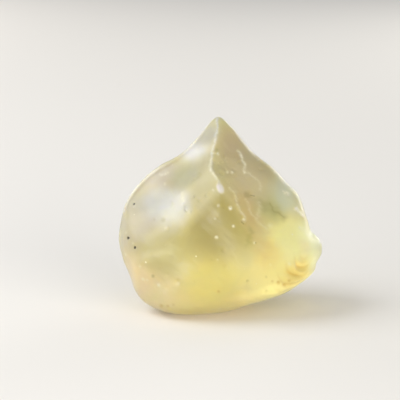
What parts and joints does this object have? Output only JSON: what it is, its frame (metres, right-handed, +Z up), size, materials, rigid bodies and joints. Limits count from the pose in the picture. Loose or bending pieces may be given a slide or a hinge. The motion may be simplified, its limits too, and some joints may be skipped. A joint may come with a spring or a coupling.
{
  "type": "libyan desert glass",
  "caption": "Natural lump of pale yellow desert glass with a blunt tip, worn faces and a side knob; stands on a small flat spot as a display specimen.",
  "frame": {"origin": "bottom centre of the stone's bounding box, at the height of the flat resting spot", "axes": "+Z up through the tip, -Y out of the front with the crest, +X towards the side with the knob"},
  "size_m": [0.0442, 0.032, 0.0416],
  "materials": {
    "desert_glass": "milky translucent pale yellow natural glass, sand-worn to a soft satin sheen"
  },
  "bodies": {
    "root": {"desert_glass": "desert_glass"}
  },
  "joints": []
}
